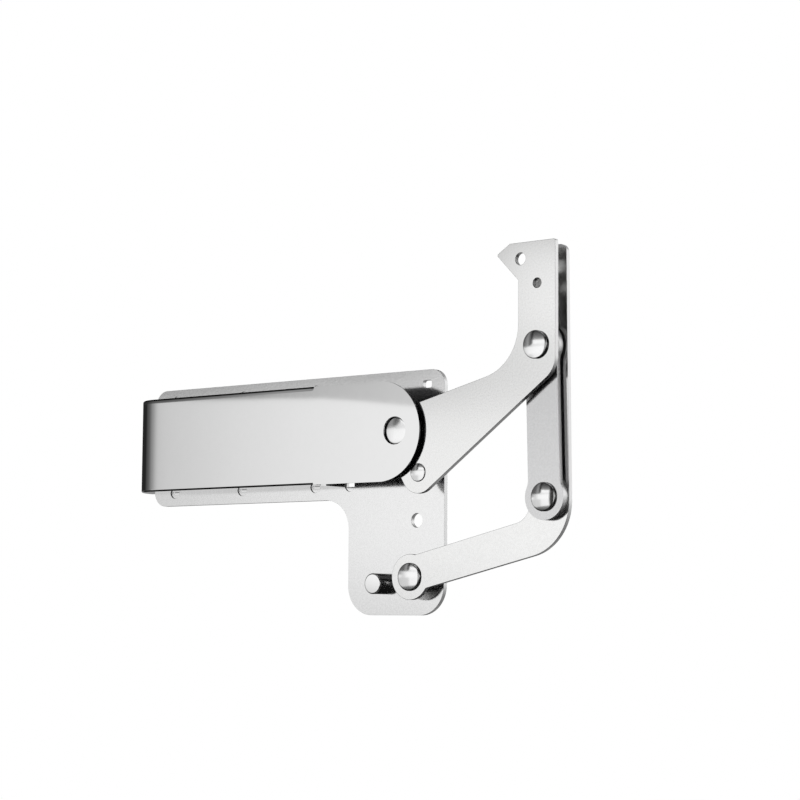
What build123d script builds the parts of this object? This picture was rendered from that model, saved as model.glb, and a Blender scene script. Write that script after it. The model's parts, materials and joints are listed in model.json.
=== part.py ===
from build123d import *
import os
from math import atan2, cos, degrees, hypot, radians, sin, tan

# A lift arm for an overhead cabinet flap, driven by a gas spring inside a folded cover.
# Millimetres. X runs to the cabinet's front, Z is up, and -Y points away from the side wall
# that the base plate is screwed to. The origin is on the main axle, at the wall face.
# A "depth" is a distance in front of the wall, so it lies at Y = -depth.

os.makedirs("parts", exist_ok=True)

# Linkage: four axles of a parallelogram
main_axle_at = (0.0, 0.0)
axle_drop = 69.5             # lower axle below the main axle
axle_lean = 1.8              # lower axle to the right of the main axle
crank_reach = 80.3           # upper link rivet to the right of the main axle
crank_rise = 35.7            # upper link rivet above the main axle
travel = 100.0               # degrees that both arms turn from open to closed

# Sheet thicknesses, and the gaps between layers
plate_thickness = 2.5
arm_thickness = 2.5
cover_thickness = 1.0
washer_thickness = 1.2
layer_gap = 0.1
running_gap = 0.05           # radial play of every turning fit
tolerance = 0.01             # for picking edges and corners by where they lie
lower_arm_depth = 7.0        # back face of the lower arm
cover_depth = 19.8           # front face of the cover

# Base plate outline
plate_left = -176.6
plate_right = 17.0
plate_top = 30.5
strip_bottom = -31.0
foot_left = -42.1
plate_bottom = -87.7
strip_corner = 8.0
foot_corner = 14.5
screw_hole_at = (0.5, -42.2)
screw_hole = 7.0
hook_slot_at = (6.4, 23.5)
hook_slot = (5.4, 3.7)
hook_slot_corner = 1.2

# Cover
cover_half_height = 24.2
cover_left = -179.2
cover_bend = 17.0            # outer radius of the rolled left end
cover_end_centre = -9.1      # centre of the half-round right end
flange_right = -50.8         # the folded flanges stop here, to let the arm's tail swing
fold_radius = 1.0
tab_places = (-161.6, -113.6, -64.1)
spare_slot_place = -41.6
tab_width = 4.0
tab_play = 0.5
tab_reach = 0.4              # tab ends this far in front of the wall
coin_radius = 3.3
coin_depth = 0.5

# Upper arm
hub_lobe = 9.6
tail_at = (12.4, -20.4)
tail_lobe = 9.9
upper_edge_angle = 13.9
lower_edge_angle = 35.75
leg_left = crank_reach - 10.1
leg_right = crank_reach + 10.6
inner_radius = 24.0
elbow_radius = 12.0
leg_top = 83.8
horn_at = (crank_reach - 22.4, 79.1)
horn_top = crank_reach - 14.9
horn_root = 66.4
arm_corner = 1.0
bracket_hole_at = (crank_reach - 8.8, 76.2)
bracket_hole = 5.8
bracket_pilot_at = (crank_reach + 0.5, 64.2)
bracket_pilot = 4.7

# Lower arm
pivot_lobe = 10.9
beam_angle = 13.1
beam_above = 9.5             # beam edges above and below the lower axle
beam_below = 7.4
rear_leg_left = crank_reach - 8.5
rear_leg_right = crank_reach + 13.3
rear_leg_lean = 0.7          # degrees that the leg leans back to the left
rear_inner_radius = 10.0
rear_elbow_radius = 25.5
rear_leg_top = 82.5
rear_top_corner = 4.0
lobe_blend = 2.0
rear_hole_at = (crank_reach + 1.1, 74.0)
rear_hole = 6.3

# Coupler link
link_lobe = 10.6
link_width = 17.4
link_blend = 8.0

# Axles and rivets
axle_radius = 4.0
axle_spacer_radius = 7.0
bush_wall = 2.0
bush_overhang = 0.1
main_head_radius = 6.4
main_head_recess = 1.0       # head face below the cover's face
cover_hole_play = 0.35
main_washer_radius = 8.5
main_washer_thickness = 0.6
lower_head_radius = 6.7
lower_head_height = 1.4
link_shank_radius = 3.5
upper_rivet_head = 6.6
upper_rivet_height = 1.7
lower_rivet_head = 6.7
lower_rivet_height = 1.7
rivet_tail_radius = 5.2
rivet_tail_height = 1.3
countersink_depth = 1.1
countersink_play = 0.1
cam_rivet_radius = 3.0
cam_rivet_head = 4.4
cam_rivet_height = 0.7
head_crown = 0.45            # rounding at the rim of each rivet head
cap_stud_at = (-20.5, -72.6)
cap_stud_radius = 5.0
cap_stud_length = 7.9
cap_stud_shank = 3.0
cap_stud_chamfer = 0.6

# Cam and its roller
cam_thickness = 5.0
cam_low = 10.0               # cam radius under the roller when open
cam_high = 24.0              # cam radius under the roller when closed
cam_hub = 10.0
cam_tail_lobe = 4.8
cam_play = 0.08
cam_run_on = 5.0             # degrees of cam edge beyond each end of the travel
cam_points = 13
roller_radius = 6.0
roller_side_gap = 0.2
roller_pin_radius = 2.5
roller_pin_head = 3.4
roller_pin_head_height = 0.8
roller_pin_head_play = 0.1

# Carriage, its shoe and its guide
guide_thickness = 1.0
guide_half_width = 12.0
guide_left = -58.0
guide_right = -11.0
guide_lip = 8.5              # depth of the guide's lips
guide_rivet_radius = 1.75
guide_rivet_places = (-54.5, -14.5)
guide_rivet_head = 3.0
guide_rivet_height = 0.5
shoe_gap = 0.1
shoe_thickness = 1.0
shoe_wall = 0.8
shoe_wall_top = 8.0
nose_radius = 7.0
nose_gap = 0.3               # between the carriage's nose and the cam
block_length = 14.5
block_front = 17.6
block_clearance = 0.6        # between the roller and the block behind it
nut_across = 10.0
nut_length = 3.5

# Gas spring
tube_radius = 6.0
tube_wall = 1.0
tube_left = -152.0
tube_right = -66.0
rod_radius = 3.0
rod_in_block = 10.0
guide_length = 10.0
seal_length = 3.0
seal_gap = 0.3
piston_length = 6.0
piston_gap = 0.05
ring_length = 1.6
ring_depth = 0.8
rod_tip = 3.0                # rod beyond the piston
plug_length = 8.0
tang_width = 11.0
tang_thickness = 5.0
tail_pin_x = -161.0
tail_pin_radius = 2.5
tail_pin_shoulder = 4.0
tail_pin_head_height = 1.2
tube_edge = 0.8

# Layers, worked out from the sizes above
link_depth = lower_arm_depth + arm_thickness + washer_thickness + layer_gap
upper_arm_depth = link_depth + arm_thickness + washer_thickness + layer_gap
upper_arm_front = upper_arm_depth + arm_thickness
lower_arm_front = lower_arm_depth + arm_thickness
link_front = link_depth + arm_thickness
cover_inside = cover_depth - cover_thickness
cam_depth = upper_arm_depth - cam_thickness
spring_depth = cam_depth + cam_thickness / 2
lower_axle_at = (axle_lean, -axle_drop)
upper_rivet_at = (crank_reach, crank_rise)
lower_rivet_at = (crank_reach + axle_lean, crank_rise - axle_drop)
bush_radius = axle_radius + running_gap + bush_wall
roller_centre = -(cam_low + roller_radius + cam_play)
rise_per_radian = (cam_high - cam_low) / radians(travel)
slot_level = cover_half_height - cover_thickness / 2


def disc(at, radius, near, far, mode=Mode.ADD):
    """A round slab at a place on the plate, from one depth to another."""
    with BuildSketch(Plane.XZ.offset(near)) as outline:
        with Locations(at):
            Circle(radius)
    extrude(outline.sketch, amount=far - near, mode=mode)


def ring(at, inner, outer, near, far):
    """A flat ring or sleeve at a place on the plate."""
    disc(at, outer, near, far)
    disc(at, inner, near, far, mode=Mode.SUBTRACT)


def rivet_head(at, radius, near, height):
    """A round head on a shank, its front rim rounded over."""
    disc(at, radius, near, near + height)
    rims = part_of().edges().filter_by(GeomType.CIRCLE).group_by(Axis.Y)[0]
    fillet(rims, head_crown)


def part_of():
    """The solid that is being built."""
    return BuildPart._get_context().part


def cone(at, radius_near, radius_far, near, far, mode=Mode.ADD):
    """A countersink or its plug, between two depths."""
    with BuildSketch(Plane.XZ.offset(near)) as wide:
        with Locations(at):
            Circle(radius_near)
    with BuildSketch(Plane.XZ.offset(far)) as narrow:
        with Locations(at):
            Circle(radius_far)
    loft([wide.sketch.face(), narrow.sketch.face()], mode=mode)


def beside(centre, radius, angle, side):
    """The point on a circle that a straight edge at an angle touches, above (+1) or below (-1)."""
    across = radians(angle + 90 * side)
    return (centre[0] + radius * cos(across), centre[1] + radius * sin(across))


def along(start, angle, x):
    """The height at x of the straight line that leaves a point at an angle."""
    return start[1] + (x - start[0]) * tan(radians(angle))


def away(corner, centre):
    """How far a sketch's corner lies from a point."""
    return hypot(corner.X - centre[0], corner.Y - centre[1])


def keep(node, label):
    """Name the finished piece and write it."""
    node.part.label = label
    export_step(node.part, f"parts/{label}.step")


# Base plate
with BuildPart() as base_plate:
    with BuildSketch(Plane.XZ):
        with BuildLine():
            FilletPolyline(
                (plate_left, plate_top), (plate_right, plate_top), (plate_right, plate_bottom),
                (foot_left, plate_bottom), (foot_left, strip_bottom), (plate_left, strip_bottom),
                radius=[strip_corner, strip_corner, foot_corner, foot_corner, foot_corner, strip_corner],
                close=True,
            )
        make_face()
        with Locations(screw_hole_at):
            Circle(screw_hole / 2, mode=Mode.SUBTRACT)
        with Locations(hook_slot_at):
            RectangleRounded(*hook_slot, hook_slot_corner, mode=Mode.SUBTRACT)
        with Locations(main_axle_at, lower_axle_at):
            Circle(axle_radius, mode=Mode.SUBTRACT)
        with Locations(cap_stud_at):
            Circle(cap_stud_shank, mode=Mode.SUBTRACT)
        with Locations((tail_pin_x, 0)):
            Circle(tail_pin_radius, mode=Mode.SUBTRACT)
        with Locations(*[(x, 0) for x in guide_rivet_places]):
            Circle(guide_rivet_radius, mode=Mode.SUBTRACT)
        tab_slots = [(x, side * slot_level) for x in tab_places for side in (1, -1)]
        with Locations(*tab_slots, (spare_slot_place, -slot_level)):
            Rectangle(tab_width + 2 * tab_play, cover_thickness + 2 * tab_play, mode=Mode.SUBTRACT)
    extrude(amount=plate_thickness)
    with BuildSketch(Plane.XZ.offset(plate_thickness - coin_depth)):
        with Locations(*tab_slots, (spare_slot_place, -slot_level)):
            Circle(coin_radius)
    extrude(amount=coin_depth, mode=Mode.SUBTRACT)
keep(base_plate, "base_plate")

# Cover: a tray with a rolled left end, and a flat tongue with a half-round end
roll_centre = (cover_left + cover_bend, -(cover_depth - cover_bend))


def tray_profile(inset):
    """The tray seen from above, from the plate round the rolled end to where the flanges stop."""
    left = cover_left + inset
    front = -(cover_depth - inset)
    with BuildSketch(Plane.XY) as profile:
        with BuildLine():
            Polyline(
                (roll_centre[0], front), (flange_right, front),
                (flange_right, -plate_thickness), (left, -plate_thickness), (left, roll_centre[1]),
            )
            RadiusArc((left, roll_centre[1]), (roll_centre[0], front), -(cover_bend - inset))
        make_face()
    return profile.sketch


with BuildPart() as housing_cover:
    extrude(tray_profile(0), amount=cover_half_height, both=True)
    folds = housing_cover.edges().filter_by(
        lambda edge: abs(abs(edge.center().Z) - cover_half_height) < tolerance
        and edge.bounding_box().max.Y < -plate_thickness - tolerance
        and edge.bounding_box().min.X < flange_right - tolerance
    )
    fillet(folds, fold_radius)
    extrude(
        tray_profile(cover_thickness), amount=cover_half_height - cover_thickness,
        both=True, mode=Mode.SUBTRACT,
    )
    with BuildSketch(Plane.XZ.offset(cover_inside)):
        with Locations(((flange_right + cover_end_centre) / 2, 0)):
            Rectangle(cover_end_centre - flange_right, 2 * cover_half_height)
        with Locations((cover_end_centre, 0)):
            Circle(cover_half_height)
        with Locations(main_axle_at):
            Circle(main_head_radius + cover_hole_play, mode=Mode.SUBTRACT)
    extrude(amount=cover_thickness)
    with BuildSketch(Plane.XZ.offset(tab_reach)):
        with Locations(*tab_slots):
            Rectangle(tab_width, cover_thickness)
    extrude(amount=plate_thickness - tab_reach)
keep(housing_cover, "housing_cover")

# Upper arm: hub and tail lobes, blade, elbow and upright leg
with BuildPart() as upper_arm:
    blade_top = beside(main_axle_at, hub_lobe, upper_edge_angle, 1)
    blade_bottom = beside(tail_at, tail_lobe, lower_edge_angle, -1)
    with BuildSketch(Plane.XZ.offset(upper_arm_depth)):
        with BuildLine():
            FilletPolyline(
                blade_top, (leg_left, along(blade_top, upper_edge_angle, leg_left)),
                (leg_left, horn_root), horn_at, (horn_top, leg_top), (leg_right, leg_top),
                (leg_right, along(blade_bottom, lower_edge_angle, leg_right)), blade_bottom,
                tail_at, main_axle_at,
                radius=[0, inner_radius, arm_corner, arm_corner, arm_corner, arm_corner,
                        elbow_radius, 0, 0, 0],
                close=True,
            )
        make_face()
        with Locations(main_axle_at):
            Circle(hub_lobe)
        with Locations(tail_at):
            Circle(tail_lobe)
        with BuildLine() as waist:
            waist_angle = degrees(atan2(tail_at[1], tail_at[0]))
            Polyline(
                main_axle_at, tail_at, beside(tail_at, tail_lobe, waist_angle, -1),
                beside(main_axle_at, hub_lobe, waist_angle, -1), close=True,
            )
        make_face()
        with Locations(main_axle_at):
            Circle(bush_radius, mode=Mode.SUBTRACT)
        with Locations(tail_at):
            Circle(cam_rivet_radius, mode=Mode.SUBTRACT)
        with Locations(upper_rivet_at):
            Circle(link_shank_radius, mode=Mode.SUBTRACT)
        with Locations(bracket_hole_at):
            Circle(bracket_hole / 2, mode=Mode.SUBTRACT)
        with Locations(bracket_pilot_at):
            Circle(bracket_pilot / 2, mode=Mode.SUBTRACT)
    extrude(amount=arm_thickness)
keep(upper_arm, "upper_arm")

# Lower arm: pivot lobe, beam, elbow and a leg behind the upper arm's leg
with BuildPart() as lower_arm:
    beam_top = (lower_axle_at[0], lower_axle_at[1] + beam_above / cos(radians(beam_angle)))
    beam_bottom = (lower_axle_at[0], lower_axle_at[1] - beam_below / cos(radians(beam_angle)))
    elbow_level = along(beam_bottom, beam_angle, rear_leg_right)
    lean = tan(radians(rear_leg_lean)) * (rear_leg_top - elbow_level)
    with BuildSketch(Plane.XZ.offset(lower_arm_depth)) as lower_outline:
        with BuildLine():
            FilletPolyline(
                beam_top, (rear_leg_left, along(beam_top, beam_angle, rear_leg_left)),
                (rear_leg_left - lean, rear_leg_top), (rear_leg_right - lean, rear_leg_top),
                (rear_leg_right, elbow_level), beam_bottom,
                radius=[0, rear_inner_radius, arm_corner, rear_top_corner, rear_elbow_radius, 0],
                close=True,
            )
        make_face()
        with Locations(lower_axle_at):
            Circle(pivot_lobe)
        creases = lower_outline.vertices().filter_by(
            lambda corner: abs(away(corner, lower_axle_at) - pivot_lobe) < tolerance
            and corner.X > lower_axle_at[0] + tolerance
        )
        fillet(creases, lobe_blend)
        with Locations(lower_axle_at):
            Circle(bush_radius, mode=Mode.SUBTRACT)
        with Locations(lower_rivet_at):
            Circle(link_shank_radius, mode=Mode.SUBTRACT)
        with Locations(rear_hole_at):
            Circle(rear_hole / 2, mode=Mode.SUBTRACT)
    extrude(amount=arm_thickness)
keep(lower_arm, "lower_arm")

# Coupler link: two lobes and a straight bar, countersunk behind for the upper rivet
with BuildPart() as coupler_link:
    with BuildSketch(Plane.XZ.offset(link_depth)) as link_outline:
        with Locations(upper_rivet_at, lower_rivet_at):
            Circle(link_lobe)
        middle = (upper_rivet_at[0] + axle_lean / 2, upper_rivet_at[1] - axle_drop / 2)
        with Locations(Location((*middle, 0), degrees(atan2(-axle_drop, axle_lean)))):
            Rectangle(hypot(axle_lean, axle_drop), link_width)
        creases = link_outline.vertices().filter_by(
            lambda corner: min(
                abs(away(corner, centre) - link_lobe) for centre in (upper_rivet_at, lower_rivet_at)
            ) < tolerance
        )
        fillet(creases, link_blend)
        with Locations(upper_rivet_at, lower_rivet_at):
            Circle(link_shank_radius + running_gap, mode=Mode.SUBTRACT)
    extrude(amount=arm_thickness)
    cone(
        upper_rivet_at, link_shank_radius + countersink_depth + countersink_play,
        link_shank_radius + countersink_play, link_depth, link_depth + countersink_depth,
        mode=Mode.SUBTRACT,
    )
keep(coupler_link, "coupler_link")

# Spacer washers that ride on the link's lobes
for label, place, near in (
    ("link_washer_upper", upper_rivet_at, link_front),
    ("link_washer_lower", lower_rivet_at, link_depth - washer_thickness),
):
    with BuildPart() as washer:
        ring(place, link_shank_radius + running_gap, link_lobe, near, near + washer_thickness)
    keep(washer, label)

# Main axle: riveted into the plate, its head showing in the cover's hole
main_spacer_end = cam_depth - bush_overhang - layer_gap
main_washer_near = upper_arm_front + bush_overhang + layer_gap
main_head_near = main_washer_near + main_washer_thickness
with BuildPart() as main_axle:
    disc(main_axle_at, axle_radius, 0, main_head_near)
    main_head_height = cover_depth - main_head_recess - main_head_near
    rivet_head(main_axle_at, main_head_radius, main_head_near, main_head_height)
keep(main_axle, "main_axle")

with BuildPart() as main_axle_spacer:
    ring(main_axle_at, axle_radius, axle_spacer_radius, plate_thickness, main_spacer_end)
keep(main_axle_spacer, "main_axle_spacer")

with BuildPart() as main_axle_washer:
    ring(main_axle_at, axle_radius, main_washer_radius, main_washer_near, main_head_near)
keep(main_axle_washer, "main_axle_washer")

with BuildPart() as upper_arm_bush:
    ring(
        main_axle_at, axle_radius + running_gap, bush_radius,
        cam_depth - bush_overhang, upper_arm_front + bush_overhang,
    )
keep(upper_arm_bush, "upper_arm_bush")

# Lower axle: a shouldered rivet with its own spacer and bush
lower_head_near = lower_arm_front + bush_overhang + layer_gap
with BuildPart() as lower_axle:
    disc(lower_axle_at, axle_radius, 0, lower_head_near)
    rivet_head(lower_axle_at, lower_head_radius, lower_head_near, lower_head_height)
keep(lower_axle, "lower_axle")

with BuildPart() as lower_axle_spacer:
    ring(
        lower_axle_at, axle_radius, axle_spacer_radius,
        plate_thickness, lower_arm_depth - bush_overhang - layer_gap,
    )
keep(lower_axle_spacer, "lower_axle_spacer")

with BuildPart() as lower_arm_bush:
    ring(
        lower_axle_at, axle_radius + running_gap, bush_radius,
        lower_arm_depth - bush_overhang, lower_arm_front + bush_overhang,
    )
keep(lower_arm_bush, "lower_arm_bush")

# Link rivets: the upper one ends flush in the link, the lower one has a head on both sides
with BuildPart() as link_rivet_upper:
    disc(upper_rivet_at, link_shank_radius, link_depth, upper_arm_front)
    cone(
        upper_rivet_at, link_shank_radius + countersink_depth, link_shank_radius,
        link_depth, link_depth + countersink_depth,
    )
    rivet_head(upper_rivet_at, upper_rivet_head, upper_arm_front, upper_rivet_height)
keep(link_rivet_upper, "link_rivet_upper")

with BuildPart() as link_rivet_lower:
    disc(lower_rivet_at, rivet_tail_radius, lower_arm_depth - rivet_tail_height, lower_arm_depth)
    disc(lower_rivet_at, link_shank_radius, lower_arm_depth, link_front + layer_gap)
    rivet_head(lower_rivet_at, lower_rivet_head, link_front + layer_gap, lower_rivet_height)
keep(link_rivet_lower, "link_rivet_lower")

# Cap stud: a plain pin riveted into the plate
with BuildPart() as cap_stud:
    disc(cap_stud_at, cap_stud_shank, 0, plate_thickness)
    disc(cap_stud_at, cap_stud_radius, plate_thickness, plate_thickness + cap_stud_length)
    chamfer(cap_stud.edges().filter_by(GeomType.CIRCLE).group_by(Axis.Y)[0], cap_stud_chamfer)
keep(cap_stud, "cap_stud")


def cam_edge_point(turned):
    """The cam's edge where the roller touches it, when the arm has closed by an angle in degrees.

    The roller's centre draws a spiral on the cam, and the edge lies one roller radius inside it.
    """
    reach = cam_low + roller_radius + rise_per_radian * radians(turned)
    heading = radians(180 + turned)
    slope = (
        rise_per_radian * cos(heading) - reach * sin(heading),
        rise_per_radian * sin(heading) + reach * cos(heading),
    )
    length = hypot(*slope)
    inward = (-slope[1] / length, slope[0] / length)
    return (
        reach * cos(heading) + roller_radius * inward[0],
        reach * sin(heading) + roller_radius * inward[1],
    )


# Cam plate: a spiral edge round the hub, held by the axle bush and the tail rivet
with BuildPart() as cam_plate:
    with BuildSketch(Plane.XZ.offset(cam_depth)):
        step = (travel + 2 * cam_run_on) / (cam_points - 1)
        spiral = [cam_edge_point(step * index - cam_run_on) for index in range(cam_points)]
        with BuildLine():
            Spline(*spiral)
            Polyline(spiral[-1], main_axle_at, spiral[0])
        make_face()
        with Locations(main_axle_at):
            Circle(cam_hub - cam_play)
        with Locations(tail_at):
            Circle(cam_tail_lobe)
        with BuildLine():
            Polyline(
                spiral[-1], tail_at, beside(tail_at, cam_tail_lobe, waist_angle, 1),
                beside(main_axle_at, cam_hub - cam_play, waist_angle, 1), main_axle_at, close=True,
            )
        make_face()
        with Locations(main_axle_at):
            Circle(bush_radius, mode=Mode.SUBTRACT)
        with Locations(tail_at):
            Circle(cam_rivet_radius, mode=Mode.SUBTRACT)
    extrude(amount=cam_thickness)
keep(cam_plate, "cam_plate")

with BuildPart() as cam_rivet:
    disc(tail_at, cam_rivet_radius, cam_depth, upper_arm_front)
    rivet_head(tail_at, cam_rivet_head, upper_arm_front, cam_rivet_height)
keep(cam_rivet, "cam_rivet")

# Roller on a pin that stands out of the carriage's nose
roller_at = (roller_centre, 0)
roller_front = upper_arm_depth - roller_side_gap
with BuildPart() as cam_roller:
    ring(
        roller_at, roller_pin_radius + running_gap, roller_radius,
        cam_depth + roller_side_gap, roller_front,
    )
    disc(
        roller_at, roller_pin_head + running_gap,
        roller_front - roller_pin_head_height - roller_pin_head_play, roller_front,
        mode=Mode.SUBTRACT,
    )
keep(cam_roller, "cam_roller")

shoe_near = plate_thickness + guide_thickness + shoe_gap
nose_near = shoe_near + shoe_thickness
nose_depth = cam_depth - nose_gap
shoe_half_width = guide_half_width - guide_thickness - shoe_gap
block_half_width = shoe_half_width - shoe_wall
block_right = roller_centre - roller_radius - block_clearance
block_left = block_right - block_length
with BuildPart() as roller_pin:
    disc(roller_at, roller_pin_radius, nose_near, roller_front)
    disc(roller_at, roller_pin_head, roller_front - roller_pin_head_height, roller_front)
keep(roller_pin, "roller_pin")

# Carriage: a sliding block with a flat nose under the roller
with BuildPart() as roller_carriage:
    with BuildSketch(Plane.XZ.offset(nose_near)):
        with Locations(((block_left + roller_centre) / 2, 0)):
            Rectangle(roller_centre - block_left, 2 * nose_radius)
        with Locations(roller_at):
            Circle(nose_radius)
    extrude(amount=nose_depth - nose_near)
    with BuildSketch(Plane.XZ.offset(nose_near)):
        with Locations(((block_left + block_right) / 2, 0)):
            Rectangle(block_length, 2 * block_half_width)
    extrude(amount=block_front - nose_near)
    chamfer(roller_carriage.edges().filter_by(Axis.Z).group_by(Axis.Y)[0], head_crown)
    disc(roller_at, roller_pin_radius, nose_near, nose_depth, mode=Mode.SUBTRACT)
    with BuildSketch(Plane.YZ.offset(block_left)):
        with Locations((-spring_depth, 0)):
            Circle(rod_radius)
    extrude(amount=rod_in_block, mode=Mode.SUBTRACT)
keep(roller_carriage, "roller_carriage")

# Glide shoe: a shallow tray under the carriage that slides in the guide
with BuildPart() as glide_shoe:
    with BuildSketch(Plane.XZ.offset(shoe_near)):
        with Locations(((block_left + block_right) / 2, 0)):
            Rectangle(block_length, 2 * shoe_half_width)
    extrude(amount=shoe_wall_top - shoe_near)
    with BuildSketch(Plane.XZ.offset(nose_near)):
        with Locations(((block_left + block_right) / 2, 0)):
            Rectangle(block_length, 2 * block_half_width)
    extrude(amount=shoe_wall_top - nose_near, mode=Mode.SUBTRACT)
keep(glide_shoe, "glide_shoe")

# Guide: a shallow channel riveted to the plate
guide_middle = ((guide_left + guide_right) / 2, 0)
with BuildPart() as carriage_guide:
    with BuildSketch(Plane.XZ.offset(plate_thickness)):
        with Locations(guide_middle):
            Rectangle(guide_right - guide_left, 2 * guide_half_width)
        with Locations(*[(x, 0) for x in guide_rivet_places]):
            Circle(guide_rivet_radius, mode=Mode.SUBTRACT)
    extrude(amount=guide_lip - plate_thickness)
    with BuildSketch(Plane.XZ.offset(plate_thickness + guide_thickness)):
        with Locations(guide_middle):
            Rectangle(guide_right - guide_left, 2 * (guide_half_width - guide_thickness))
    extrude(amount=guide_lip - plate_thickness - guide_thickness, mode=Mode.SUBTRACT)
keep(carriage_guide, "carriage_guide")

with BuildPart() as guide_rivets:
    for x in guide_rivet_places:
        web_face = plate_thickness + guide_thickness
        disc((x, 0), guide_rivet_radius, 0, web_face)
        disc((x, 0), guide_rivet_head, web_face, web_face + guide_rivet_height)
keep(guide_rivets, "guide_rivets")

# Gas spring, along X at the middle of the cover


def bar(radius, left, right, mode=Mode.ADD):
    """A round bar along the gas spring's centre line."""
    with BuildSketch(Plane.YZ.offset(left)) as outline:
        with Locations((-spring_depth, 0)):
            Circle(radius)
    extrude(outline.sketch, amount=right - left, mode=mode)


tube_bore = tube_radius - tube_wall
with BuildPart() as gas_cylinder:
    bar(tube_radius, tube_left, tube_right)
    bar(tube_bore, tube_left, tube_right, mode=Mode.SUBTRACT)
    outer_rims = gas_cylinder.edges().filter_by(GeomType.CIRCLE).filter_by(
        lambda edge: abs(edge.radius - tube_radius) < tolerance
    )
    fillet(outer_rims, tube_edge)
keep(gas_cylinder, "gas_cylinder")

with BuildPart() as cylinder_end_plug:
    bar(tube_bore, tube_left, tube_left + plug_length)
    with BuildSketch(Plane.XZ.offset(spring_depth - tang_thickness / 2)) as tang:
        with Locations(((tail_pin_x + tube_left) / 2, 0)):
            Rectangle(tube_left - tail_pin_x, tang_width)
        with Locations((tail_pin_x, 0)):
            Circle(tang_width / 2)
            Circle(tail_pin_radius, mode=Mode.SUBTRACT)
    extrude(amount=tang_thickness)
keep(cylinder_end_plug, "cylinder_end_plug")

tang_near = spring_depth - tang_thickness / 2
tang_front = spring_depth + tang_thickness / 2
with BuildPart() as tail_pin:
    disc((tail_pin_x, 0), tail_pin_radius, 0, tang_front)
    disc((tail_pin_x, 0), tail_pin_shoulder, plate_thickness, tang_near)
    rivet_head((tail_pin_x, 0), tail_pin_shoulder, tang_front, tail_pin_head_height)
keep(tail_pin, "tail_pin")

seal_right = tube_right - guide_length
with BuildPart() as rod_guide:
    bar(tube_bore, seal_right, tube_right)
    bar(rod_radius + running_gap, seal_right, tube_right, mode=Mode.SUBTRACT)
keep(rod_guide, "rod_guide")

with BuildPart() as rod_seal:
    bar(tube_bore, seal_right - seal_length, seal_right)
    bar(rod_radius + running_gap, seal_right - seal_length, seal_right, mode=Mode.SUBTRACT)
keep(rod_seal, "rod_seal")

piston_right = seal_right - seal_length - seal_gap
piston_left = piston_right - piston_length
ring_left = (piston_left + piston_right - ring_length) / 2
with BuildPart() as piston_rod:
    bar(rod_radius, piston_left - rod_tip, block_left + rod_in_block)
keep(piston_rod, "piston_rod")

with BuildPart() as piston:
    bar(tube_bore - piston_gap, piston_left, piston_right)
    with BuildSketch(Plane.YZ.offset(ring_left)):
        with Locations((-spring_depth, 0)):
            Circle(tube_bore)
            Circle(tube_bore - piston_gap - ring_depth, mode=Mode.SUBTRACT)
    extrude(amount=ring_length, mode=Mode.SUBTRACT)
    bar(rod_radius, piston_left, piston_right, mode=Mode.SUBTRACT)
keep(piston, "piston")

with BuildPart() as piston_ring:
    bar(tube_bore - piston_gap, ring_left, ring_left + ring_length)
    bar(tube_bore - piston_gap - ring_depth, ring_left, ring_left + ring_length, mode=Mode.SUBTRACT)
keep(piston_ring, "piston_ring")

with BuildPart() as rod_lock_nut:
    with BuildSketch(Plane.YZ.offset(block_left - nut_length)):
        with Locations((-spring_depth, 0)):
            RegularPolygon(nut_across / 2, 6, major_radius=False)
            Circle(rod_radius, mode=Mode.SUBTRACT)
    extrude(amount=nut_length)
keep(rod_lock_nut, "rod_lock_nut")
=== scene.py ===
# %% [markdown]
# # A lift arm for an overhead cabinet flap
# The part screws to the inside of a cabinet's side wall. Two bent arms and a link between them
# carry the flap up, and a gas spring under the folded cover pushes the upper arm open. Here the
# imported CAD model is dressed: its sheets get eased edges, its rivets get turned heads, and every
# piece gets a finish. The CAD frame comes first, because all else is placed by it.

# %% Load the frame
import json
from math import cos, pi, radians, sin

import bmesh
import bpy
from mathutils import Matrix, Vector

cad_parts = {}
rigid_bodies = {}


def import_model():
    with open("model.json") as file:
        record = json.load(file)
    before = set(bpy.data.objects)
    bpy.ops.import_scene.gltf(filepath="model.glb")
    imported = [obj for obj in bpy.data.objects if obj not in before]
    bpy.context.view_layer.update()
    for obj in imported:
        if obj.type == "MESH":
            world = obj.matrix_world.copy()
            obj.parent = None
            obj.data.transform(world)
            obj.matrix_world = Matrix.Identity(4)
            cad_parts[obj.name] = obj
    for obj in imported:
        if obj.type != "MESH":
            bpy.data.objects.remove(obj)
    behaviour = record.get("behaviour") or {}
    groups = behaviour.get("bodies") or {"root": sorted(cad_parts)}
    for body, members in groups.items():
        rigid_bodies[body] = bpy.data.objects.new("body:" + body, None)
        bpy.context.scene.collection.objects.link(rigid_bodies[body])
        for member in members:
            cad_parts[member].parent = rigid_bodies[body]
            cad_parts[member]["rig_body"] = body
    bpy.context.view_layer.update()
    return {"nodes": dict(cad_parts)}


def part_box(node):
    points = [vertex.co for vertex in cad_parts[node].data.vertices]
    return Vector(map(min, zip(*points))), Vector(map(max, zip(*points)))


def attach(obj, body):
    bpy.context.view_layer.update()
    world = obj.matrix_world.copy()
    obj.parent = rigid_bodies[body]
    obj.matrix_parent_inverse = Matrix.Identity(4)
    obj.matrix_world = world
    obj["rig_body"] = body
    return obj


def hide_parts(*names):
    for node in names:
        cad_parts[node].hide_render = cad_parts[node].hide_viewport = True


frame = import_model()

print("pieces in the frame:", len(frame["nodes"]))

# %% [markdown]
# ## Sizes that this script repeats
# The script can't read the CAD source, so the few places that it needs are written again. They
# are in millimetres, as all sizes of the part are here, and the rest is measured on the frame. A
# depth is a distance in front of the wall, so a point at some depth lies at Y = -depth.

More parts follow.
